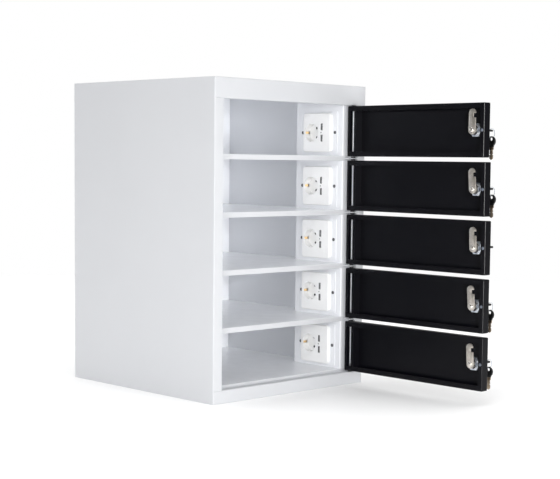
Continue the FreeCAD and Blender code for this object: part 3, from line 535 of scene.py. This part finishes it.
def key_blade_outline():
    """Shoulder, blade with its cuts on both edges, and a blunt point."""
    start = BOW_LENGTH - 6.0 * MM
    shoulder = BOW_LENGTH + SHANK - 1.0 * MM
    tip = BOW_LENGTH + SHANK + BLADE_LENGTH
    wide = BLADE_HALF + 1.2 * MM
    side = [(wide, start), (wide, shoulder), (BLADE_HALF, shoulder)]
    for index, depth in enumerate((1.5, 0.8, 1.8)):
        middle = BOW_LENGTH + SHANK + (1.8 + 3.2 * index) * MM
        side += [(BLADE_HALF, middle - 1.4 * MM), (BLADE_HALF - depth * MM, middle - 0.3 * MM),
                 (BLADE_HALF - depth * MM, middle + 0.3 * MM), (BLADE_HALF, middle + 1.4 * MM)]
    side += [(BLADE_HALF, tip - 2.6 * MM), (1.0 * MM, tip)]
    return side + [(-x, z) for x, z in reversed(side)]


def key_pieces(kind, number, body, place):
    """Bow and blade of one key, in local axes that turn the bow's end to the key ring."""
    half = BOW_THICKNESS / 2
    bow_shape = extruded(key_bow_outline(), -half, half, bevel=1.1 * MM, segments=4)
    bow = add_piece(f"{kind}_bow_{number}", bow_shape, "bow", body, place,
                    replaces=[f"{kind}_{number}"])
    hole = lathed([(0.0, -half - MM), (BOW_HOLE + MM, -half - MM), (BOW_HOLE, -half + 0.3 * MM),
                   (BOW_HOLE, half - 0.3 * MM), (BOW_HOLE + MM, half + MM), (0.0, half + MM)], 32)
    cut(bow, hole, place @ Matrix.Translation((0, 0, BOW_HOLE_INSET)))
    for side in (-1, 1):
        pocket = lathed([(0.0, 0.0), (POCKET_RADIUS, 0.0), (POCKET_RADIUS, 2 * MM), (0.0, 2 * MM)], 40)
        depth = half - POCKET_DEPTH if side > 0 else -half + POCKET_DEPTH - 2 * MM
        cut(bow, pocket, place @ Matrix.Translation((0, depth, BOW_RADIUS + 3.4 * MM)))
    thin = BLADE_THICKNESS / 2
    blade_shape = extruded(key_blade_outline(), -thin, thin, bevel=0.15 * MM)
    blade = add_piece(f"{kind}_blade_{number}", blade_shape, "blade", body, place)
    for side in (-1, 1):
        low = thin - GROOVE_DEPTH if side > 0 else -thin - MM
        high = thin + MM if side > 0 else -thin + GROOVE_DEPTH
        middle = side * GROOVE_OFFSET
        groove = block(middle - GROOVE_HALF, middle + GROOVE_HALF, low, high,
                       BOW_LENGTH + 1.0 * MM, BOW_LENGTH + SHANK + BLADE_LENGTH + 2 * MM)
        cut(blade, groove, place)
    return bow


def key_in_lock(number):
    """The key in the lock, lying flat and pointing inwards with its bow outside."""
    bow_end = -(ROSETTE_HEIGHT + SHANK + BOW_LENGTH)
    inwards = Matrix.Rotation(math.radians(-90), 4, "X")
    place = lock_place(number) @ Matrix.Translation((0, bow_end, 0)) @ inwards
    return key_pieces("key", number, f"key_{number}", place)


def spare_key(number):
    """The second key, hanging from the ring with its blade down and its face along the door."""
    wire = Vector(JOINTS[f"spare_key_{number}_swing"]["pos_m"])
    end = Vector((0, 0, BOW_HOLE_INSET - RING_TO_HOLE))
    downwards = Matrix.Rotation(math.radians(180), 4, "X")
    place = Matrix.Translation(wire + end) @ door_turn(number) @ downwards
    return key_pieces("spare_key", number, f"spare_key_{number}", place)


def key_ring(number):
    """Split ring: two turns of wire side by side, crossing over in a short step."""
    middle = Vector(JOINTS[f"ring_{number}_swing"]["pos_m"])
    points = []
    steps = 144
    for step in range(steps + 1):
        turns = 2.0 * step / steps
        crossing = min(1.0, max(0.0, (turns - 0.92) / 0.16))
        eased = crossing * crossing * (3 - 2 * crossing)
        angle = 2 * math.pi * turns + math.radians(200)
        points.append(Vector((RING_WIRE * (2 * eased - 1), RING_RADIUS * math.cos(angle),
                              RING_RADIUS * math.sin(angle))))
    return add_piece(f"split_ring_{number}", tube(points, RING_WIRE), "zinc", f"ring_{number}",
                     Matrix.Translation(middle) @ door_turn(number), replaces=[f"key_ring_{number}"])


# ---------------------------------------------------------------- small trim

def door_buffer(number):
    """Soft dome on the lock-side flange, against the noise of closing."""
    base = DOOR_DEPTH
    profile = [(0.0, base), (BUFFER_RADIUS, base)]
    for step in range(1, 9):
        angle = math.radians(90 * step / 8)
        profile.append((BUFFER_RADIUS * math.cos(angle), base + BUFFER_HEIGHT * math.sin(angle)))
    place = door_place(number) @ Matrix.Translation((-BUFFER_OFFSET, 0, 0))
    return add_piece(f"door_buffer_{number}", lathed(profile, 32), "rubber", f"door_{number}",
                     place)


def outlet_heights():
    """Heights of the outlets' centres, from the top locker down."""
    return [JOINTS[f"lock_{n}_turn"]["pos_m"][2] - OUTLET_DROP for n in range(1, LOCKERS + 1)]


def middle_y(name):
    low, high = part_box(name)
    return (low.y + high.y) / 2


def outlet_lamps():
    """One small lamp between the ports of each outlet."""
    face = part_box("outlet_covers")[0].x
    shape = bmesh.new()
    for height in outlet_heights():
        dome = lathed([(0.0, 3 * MM), (LAMP_RADIUS, 3 * MM), (LAMP_RADIUS, 0.2 * MM),
                       (LAMP_RADIUS * 0.6, 0.05 * MM), (0.0, 0.01 * MM)], 20)
        place = Matrix.Translation((face, middle_y("usb_modules") + LAMP_OFFSET, height))
        joined(shape, dome, place @ INTO_OUTLET)
    return add_piece("outlet_lamps", shape, "lamp", "cabinet")


def painted_shade_pin_sleeves():
    """Contact sleeves inside the two pin holes of each cup, in a dark metal that paints shade into the holes.
    """
    floor_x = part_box("outlet_covers")[0].x + CUP_DEPTH
    shape = bmesh.new()
    for height in outlet_heights():
        for side in (-1, 1):
            sleeve = lathed([(1.7 * MM, 0.3 * MM), (2.45 * MM, 0.3 * MM), (2.45 * MM, 9.0 * MM),
                             (0.0, 9.0 * MM), (0.0, 6.0 * MM), (1.7 * MM, 6.0 * MM)], 24)
            place = Matrix.Translation((floor_x, middle_y("outlet_inserts"), height + side * PIN_SPACING / 2))
            joined(shape, sleeve, place @ INTO_OUTLET)
    # Contacts do sit behind the pin holes, but the dark metal lining and closing each hole is painted shade.
    return add_piece("painted_shade_pin_sleeves", shape, "dark_screw", "cabinet")


def usb_contacts():
    """Four contacts on the tongue of every port."""
    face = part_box("usb_modules")[0].x
    tongue = middle_y("usb_modules") + TONGUE_OFFSET
    shape = bmesh.new()
    for height in outlet_heights():
        for step in range(8):
            side = -1 if step < 4 else 1
            z = height + side * USB_SPACING / 2 + (step % 4 - 1.5) * CONTACT_PITCH
            pad = block(face + 0.6 * MM, face + 8 * MM, tongue - 1.0 * MM, tongue + 1.0 * MM,
                        z - CONTACT_WIDTH / 2, z + CONTACT_WIDTH / 2)
            bmesh.ops.bevel(pad, geom=pad.edges, offset=0.15 * MM, segments=1, affect="EDGES")
            joined(shape, pad, Matrix.Identity(4))
    return add_piece("usb_contacts", shape, "dark_screw", "cabinet")


def light_tongues():
    """Give the ports' tongues their own light plastic."""
    node = NODES["usb_modules"]
    tongue = middle_y("usb_modules") + TONGUE_OFFSET
    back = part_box("usb_modules")[1].x - 1.5 * MM
    node.data.materials.append(MATERIALS["tongue"])
    for polygon in node.data.polygons:
        if abs(polygon.center.y - tongue) < TONGUE_HALF and polygon.center.x < back:
            polygon.material_index = 1


def rear_rivets():
    """Pop rivets that hold the back panel to the rear flanges."""
    low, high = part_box("left_side_panel")
    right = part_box("right_side_panel")[1].x
    shape = bmesh.new()
    places = []
    for step in range(RIVETS_UP):
        z = low.z + RIVET_START + step * RIVET_PITCH
        places += [(low.x + RIVET_INSET, z), (right - RIVET_INSET, z)]
    for step in range(1, RIVETS_ACROSS + 1):
        x = low.x + (right - low.x) * step / (RIVETS_ACROSS + 1)
        places += [(x, low.z + RIVET_INSET), (x, high.z - RIVET_INSET)]
    for x, z in places:
        head = lathed([(0.0, 0.0), (3.4 * MM, 0.0), (3.3 * MM, 0.4 * MM), (2.4 * MM, 0.85 * MM),
                       (1.1 * MM, 1.0 * MM), (0.9 * MM, 0.5 * MM), (0.0, 0.5 * MM)], 24)
        joined(shape, head, Matrix.Translation((x, high.y, z)))
    return add_piece("rear_rivets", shape, "zinc", "cabinet")


# ---------------------------------------------------------------- CAD nodes

def dress(names, material):
    """Give CAD nodes a material, and smooth shading up to their real edges."""
    for name in names:
        node = NODES[name]
        node.data.materials.clear()
        node.data.materials.append(MATERIALS[material])
        node.data.shade_smooth()
        node.data.set_sharp_from_angle(angle=math.radians(CAD_SMOOTH_ANGLE))


def dress_cad_nodes():
    dress(["left_side_panel", "right_side_panel", "top_panel", "bottom_panel", "back_panel", "socket_channel",
           "hinge_lugs", "socket_plates", "inner_back_panel"], "white_coat")
    dress(SHELVES, "shelf_coat")
    dress(["outlet_covers", "outlet_inserts"], "outlet")
    dress(["usb_modules", "mains_inlet"], "port")
    dress(["earth_clips", "inlet_pins"], "brass")
    dress(["plate_screws"], "dark_screw")
    dress(["hinge_rod"], "rod_zinc")
    dress(["hinge_bushes"], "nylon")
    dress(["terminal_block"], "natural_nylon")
    dress(["wiring_harness"], "sheath")
    dress(DOORS, "black_coat")


# ---------------------------------------------------------------- stage

def floor():
    """A round pale floor."""
    mesh = bpy.data.meshes.new("floor")
    shape = bmesh.new()
    bmesh.ops.create_circle(shape, cap_ends=True, segments=96, radius=FLOOR_RADIUS)
    shape.to_mesh(mesh)
    shape.free()
    made = Shader("floor", (0.93, 0.93, 0.93), 0.6)
    made.vary_color(made.noise(0.4, 2.0), (0.925, 0.925, 0.925), (0.935, 0.935, 0.935))
    mesh.materials.append(made.material)
    plane = bpy.data.objects.new("floor", mesh)
    bpy.context.scene.collection.objects.link(plane)
    return plane


def link_light(light, receivers, blockers=()):
    """Let a light reach only some objects, and let only some objects stand in its way."""
    lit = bpy.data.collections.new(light.name + "_lit")
    for receiver in receivers:
        lit.objects.link(receiver)
    light.light_linking.receiver_collection = lit
    if blockers:
        shading = bpy.data.collections.new(light.name + "_blocked")
        for blocker in blockers:
            shading.objects.link(blocker)
        light.light_linking.blocker_collection = shading


def area_light(name, location, target, size, power):
    """A soft rectangular light aimed at a point."""
    data = bpy.data.lights.new(name, "AREA")
    data.shape = "RECTANGLE"
    data.size, data.size_y = size
    data.energy = power
    light = bpy.data.objects.new(name, data)
    light.location = location
    light.rotation_mode = "QUATERNION"
    light.rotation_quaternion = (Vector(target) - Vector(location)).to_track_quat("-Z", "Y")
    light.visible_camera = False
    bpy.context.scene.collection.objects.link(light)
    return light


def floor_light(plane):
    """An even glow from above that only the floor receives, so that it stays pale to its edge."""
    data = bpy.data.lights.new("floor_glow", "SUN")
    data.energy = 2.3
    data.angle = math.radians(120)
    light = bpy.data.objects.new("floor_glow", data)
    light.location = (0.0, 0.0, 3.0)
    bpy.context.scene.collection.objects.link(light)
    link_light(light, [plane])


def lights(plane):
    """A white studio: dim all round, white behind the object, lit softly, some parts by their own lights."""
    world = bpy.data.worlds.new("studio")
    world.use_nodes = True
    nodes = world.node_tree.nodes
    links = world.node_tree.links
    seen = nodes.new("ShaderNodeLightPath").outputs["Is Camera Ray"]
    strength = nodes.new("ShaderNodeMapRange")
    strength.inputs["To Min"].default_value = 0.24
    strength.inputs["To Max"].default_value = 1.0
    links.new(seen, strength.inputs["Value"])
    links.new(strength.outputs["Result"], nodes["Background"].inputs["Strength"])
    nodes["Background"].inputs["Color"].default_value = (1.0, 1.0, 1.0, 1.0)
    bpy.context.scene.world = world
    area_light("front", (-0.2, -2.6, 0.42), (0.0, 0.0, 0.30), (2.2, 0.8), 20.5)
    area_light("left", (-2.3, -1.5, 0.8), (-0.1, -0.1, 0.3), (1.3, 1.3), 18.5)
    area_light("above", (0.2, -0.2, 3.4), (0.0, 0.0, 0.0), (3.6, 3.6), 54.0)
    floor_light(plane)
    wall = area_light("locker_backs", (0.1, -2.4, 0.40), (0.0, 0.0, 0.30), (1.6, 0.7), 165.0)
    link_light(wall, [NODES["inner_back_panel"]])
    tops = area_light("shelf_tops", (-0.1, -0.7, 2.0), (0.0, 0.0, 0.30), (1.2, 1.2), 10.5)
    link_light(tops, [NODES[name] for name in SHELVES], [plane])
    outlets = area_light("outlets", (-1.75, -2.05, 0.50), (0.15, -0.13, 0.30), (0.6, 0.6), 30.0)
    link_light(outlets, [NODES[name] for name in OUTLETS])
    edges = area_light("door_edges", (-1.1, -2.0, 0.45), (0.17, -0.55, 0.25), (0.30, 1.1), 200.0)
    link_light(edges, [NODES[name] for name in DOORS])


def camera():
    """Front left, near the height of the upper lockers, with a long lens."""
    data = bpy.data.cameras.new("camera")
    data.sensor_width = 36.0
    data.lens = 86.7
    data.shift_x = -0.079
    data.shift_y = 0.065
    data.clip_end = 50.0
    yaw = 0.795
    pitch = -0.084
    roll = 0.013
    forward = Vector((math.sin(yaw) * math.cos(pitch), math.cos(yaw) * math.cos(pitch), math.sin(pitch)))
    right = Vector((math.cos(yaw), -math.sin(yaw), 0.0))
    up = right.cross(forward)
    rolled_right = right * math.cos(roll) + up * math.sin(roll)
    rolled_up = up * math.cos(roll) - right * math.sin(roll)
    turn = Matrix((rolled_right, rolled_up, -forward)).transposed().to_4x4()
    eye = bpy.data.objects.new("camera", data)
    eye.matrix_world = Matrix.Translation((-1.8077, -2.0766, 0.4476)) @ turn
    bpy.context.scene.collection.objects.link(eye)
    bpy.context.scene.camera = eye


# ---------------------------------------------------------------- make

bpy.context.scene.view_settings.view_transform = "Standard"
camera()
lights(floor())
dress_cad_nodes()
light_tongues()
usb_contacts()
outlet_lamps()
painted_shade_pin_sleeves()
rear_rivets()
for number in range(1, LOCKERS + 1):
    lock_body(number)
    lock_nut(number)
    lock_plug(number)
    cam(number)
    cam_screw(number)
    key_in_lock(number)
    if number != NO_SPARE_KEY:
        key_ring(number)
        spare_key(number)
    door_buffer(number)
